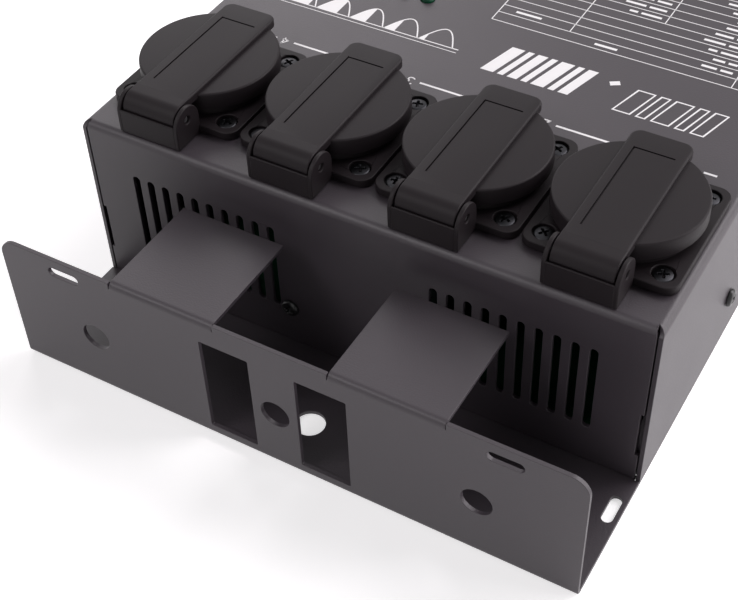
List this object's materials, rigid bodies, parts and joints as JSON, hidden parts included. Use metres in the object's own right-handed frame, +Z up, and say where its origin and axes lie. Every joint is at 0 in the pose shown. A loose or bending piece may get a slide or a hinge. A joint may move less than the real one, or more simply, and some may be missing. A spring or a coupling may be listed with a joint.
{
  "type": "dimmer pack",
  "caption": "Folded steel dimmer pack with a hanging bracket at the rear, a row of lidded mains sockets on top, and a display, keys, lamps, fuses and data connectors.",
  "frame": {"origin": "centre of the housing's underside, without the bracket", "axes": "+Z up; -Y towards the hanging bracket and the socket row; +Y towards the controls, fuses and data connectors; +X to the right seen from the bracket side"},
  "size_m": [0.2122, 0.3037, 0.0832],
  "materials": {
    "painted_steel": "charcoal powder coat, fine texture",
    "socket_plastic": "matt charcoal moulding",
    "black_plastic": "matt black moulding",
    "seal_rubber": "soft black rubber",
    "bright_steel": "zinc plated",
    "blackened_steel": "black oxide",
    "contact_brass": "rolled strip",
    "bare_aluminium": "extruded",
    "circuit_board": "solder resist",
    "laminated_core": "varnished laminations",
    "terminal_grey": "moulded",
    "tinted_window": "polished, dark red tint",
    "lamp_lens": "polished, green tint",
    "key_plastic": "matt grey moulding",
    "connector_metal": "black coated die casting"
  },
  "bodies": {
    "housing": {"base_tray": "painted_steel", "top_cover": "painted_steel", "socket_body_4": "socket_plastic", "earth_strap_4": "contact_brass", "hinge_pin_4": "bright_steel", "closing_spring_4": "bright_steel", "socket_body_3": "socket_plastic", "earth_strap_3": "contact_brass", "hinge_pin_3": "bright_steel", "closing_spring_3": "bright_steel", "socket_body_2": "socket_plastic", "earth_strap_2": "contact_brass", "hinge_pin_2": "bright_steel", "closing_spring_2": "bright_steel", "socket_body_1": "socket_plastic", "earth_strap_1": "contact_brass", "hinge_pin_1": "bright_steel", "closing_spring_1": "bright_steel", "cover_screw_right_rear": "blackened_steel", "cover_screw_left_rear": "blackened_steel", "cover_screw_right_front": "blackened_steel", "cover_screw_left_front": "blackened_steel", "heat_sink_screw_1": "blackened_steel", "heat_sink_screw_2": "blackened_steel", "heat_sink": "bare_aluminium", "power_board": "circuit_board", "transformer": "laminated_core", "terminal_block": "terminal_grey", "control_board": "circuit_board", "display_window": "tinted_window", "status_lamp_1": "lamp_lens", "status_lamp_2": "lamp_lens", "status_lamp_3": "lamp_lens", "status_lamp_4": "lamp_lens", "status_lamp_5": "lamp_lens", "dmx_input": "connector_metal", "dmx_output": "connector_metal", "fuse_holder_4": "black_plastic", "fuse_cap_4": "black_plastic", "fuse_holder_3": "black_plastic", "fuse_cap_3": "black_plastic", "fuse_holder_2": "black_plastic", "fuse_cap_2": "black_plastic", "fuse_holder_1": "black_plastic", "fuse_cap_1": "black_plastic", "cable_gland": "black_plastic"},
    "lid_1": {"socket_lid_1": "socket_plastic", "lid_seal_1": "seal_rubber"},
    "lid_2": {"socket_lid_2": "socket_plastic", "lid_seal_2": "seal_rubber"},
    "lid_3": {"socket_lid_3": "socket_plastic", "lid_seal_3": "seal_rubber"},
    "lid_4": {"socket_lid_4": "socket_plastic", "lid_seal_4": "seal_rubber"},
    "key_1": {"menu_key_1": "key_plastic"},
    "key_2": {"menu_key_2": "key_plastic"},
    "key_3": {"menu_key_3": "key_plastic"},
    "key_4": {"menu_key_4": "key_plastic"}
  },
  "joints": [
    {"name": "lid_1_hinge", "type": "hinge", "parent": "housing", "child": "lid_1", "pos_m": [0.0765, -0.1122, 0.078], "axis": [1, 0, 0], "range_deg": [0, 100], "stiffness_Nm_per_rad": 0.02, "springref_deg": -34.38},
    {"name": "lid_2_hinge", "type": "hinge", "parent": "housing", "child": "lid_2", "pos_m": [0.0255, -0.1122, 0.078], "axis": [1, 0, 0], "range_deg": [0, 100], "stiffness_Nm_per_rad": 0.02, "springref_deg": -34.38},
    {"name": "lid_3_hinge", "type": "hinge", "parent": "housing", "child": "lid_3", "pos_m": [-0.0255, -0.1122, 0.078], "axis": [1, 0, 0], "range_deg": [0, 100], "stiffness_Nm_per_rad": 0.02, "springref_deg": -34.38},
    {"name": "lid_4_hinge", "type": "hinge", "parent": "housing", "child": "lid_4", "pos_m": [-0.0765, -0.1122, 0.078], "axis": [1, 0, 0], "range_deg": [0, 100], "stiffness_Nm_per_rad": 0.02, "springref_deg": -34.38},
    {"name": "key_1_press", "type": "slide", "parent": "housing", "child": "key_1", "axis": [0, 0, -1], "range_m": [0, 0.0008], "stiffness_N_per_m": 1200, "springref_m": -0.0003},
    {"name": "key_2_press", "type": "slide", "parent": "housing", "child": "key_2", "axis": [0, 0, -1], "range_m": [0, 0.0008], "stiffness_N_per_m": 1200, "springref_m": -0.0003},
    {"name": "key_3_press", "type": "slide", "parent": "housing", "child": "key_3", "axis": [0, 0, -1], "range_m": [0, 0.0008], "stiffness_N_per_m": 1200, "springref_m": -0.0003},
    {"name": "key_4_press", "type": "slide", "parent": "housing", "child": "key_4", "axis": [0, 0, -1], "range_m": [0, 0.0008], "stiffness_N_per_m": 1200, "springref_m": -0.0003}
  ]
}
